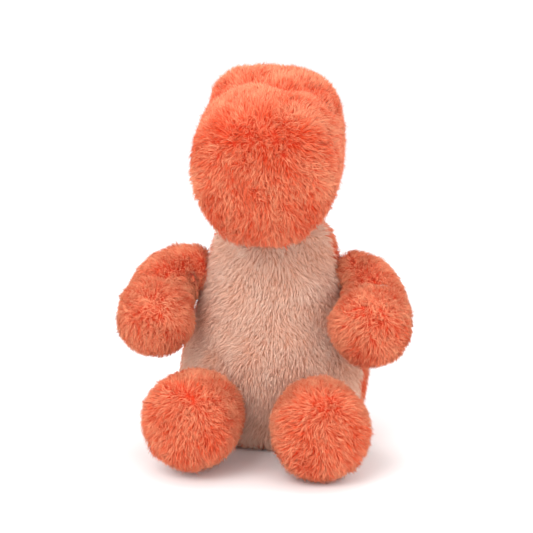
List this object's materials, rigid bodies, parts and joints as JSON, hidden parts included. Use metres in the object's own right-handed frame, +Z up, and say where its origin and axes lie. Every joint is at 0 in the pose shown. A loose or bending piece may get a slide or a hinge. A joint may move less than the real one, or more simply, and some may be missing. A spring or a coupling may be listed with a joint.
{
  "type": "stuffed dinosaur",
  "caption": "Seated plush dinosaur with a large drooping head, pale belly panel, jointed arms, legs and tail, and a flat seat it rests on.",
  "frame": {"origin": "middle of the flat seat, on the floor, under the axis of the torso", "axes": "+Z up, -Y is the front that the toy faces, +X is the toy's own left"},
  "size_m": [0.2118, 0.2789, 0.2767],
  "materials": {
    "coral_plush": "long soft pile, matt with a light sheen",
    "cream_plush": "long soft pile, matt with a light sheen",
    "stuffing": "loose polyester fibre",
    "bag_cloth": "plain woven cotton",
    "pellets": "small round beads",
    "thread": "twisted thread",
    "eye": "polished black",
    "washer": "plain moulded"
  },
  "bodies": {
    "torso": {"belly_panel": "cream_plush", "left_side_panel": "coral_plush", "right_side_panel": "coral_plush", "seat_panel": "coral_plush", "torso_stuffing": "stuffing", "pellet_bag_base": "bag_cloth", "pellet_bag_top": "bag_cloth", "pellets": "pellets"},
    "neck": {"neck_thread": "thread"},
    "head": {"left_cheek_panel": "coral_plush", "right_cheek_panel": "coral_plush", "head_gusset": "coral_plush", "chin_panel": "coral_plush", "head_stuffing": "stuffing", "left_eye": "eye", "right_eye": "eye", "left_eye_washer": "washer", "right_eye_washer": "washer"},
    "left_arm": {"left_arm_inner_panel": "coral_plush", "left_arm_outer_panel": "coral_plush", "left_arm_stuffing": "stuffing"},
    "right_arm": {"right_arm_inner_panel": "coral_plush", "right_arm_outer_panel": "coral_plush", "right_arm_stuffing": "stuffing"},
    "left_leg": {"left_leg_top_panel": "coral_plush", "left_leg_under_panel": "coral_plush", "left_sole_panel": "coral_plush", "left_leg_stuffing": "stuffing"},
    "right_leg": {"right_leg_top_panel": "coral_plush", "right_leg_under_panel": "coral_plush", "right_sole_panel": "coral_plush", "right_leg_stuffing": "stuffing"},
    "tail": {"tail_left_panel": "coral_plush", "tail_right_panel": "coral_plush", "tail_stuffing": "stuffing"}
  },
  "joints": [
    {"name": "head_turn", "type": "hinge", "parent": "torso", "child": "neck", "pos_m": [0, 0, 0.12], "axis": [0, 0, 1], "range_deg": [-20, 20]},
    {"name": "head_nod", "type": "hinge", "parent": "neck", "child": "head", "pos_m": [0, 0, 0.12], "axis": [1, 0, 0], "range_deg": [-14, 10]},
    {"name": "left_arm_swing", "type": "hinge", "parent": "torso", "child": "left_arm", "pos_m": [0.0596, 0, 0.123], "axis": [-1, 0, 0], "range_deg": [-4, 35]},
    {"name": "right_arm_swing", "type": "hinge", "parent": "torso", "child": "right_arm", "pos_m": [-0.0596, 0, 0.123], "axis": [-1, 0, 0], "range_deg": [-4, 35]},
    {"name": "left_leg_lift", "type": "hinge", "parent": "torso", "child": "left_leg", "pos_m": [0.034, -0.05564, 0.03], "axis": [-1, 0, 0], "range_deg": [-8, 15]},
    {"name": "right_leg_lift", "type": "hinge", "parent": "torso", "child": "right_leg", "pos_m": [-0.034, -0.05564, 0.03], "axis": [-1, 0, 0], "range_deg": [-8, 15]},
    {"name": "tail_wag", "type": "hinge", "parent": "torso", "child": "tail", "pos_m": [0, 0.05212, 0.038], "axis": [0, 0, 1], "range_deg": [-15, 15]}
  ]
}
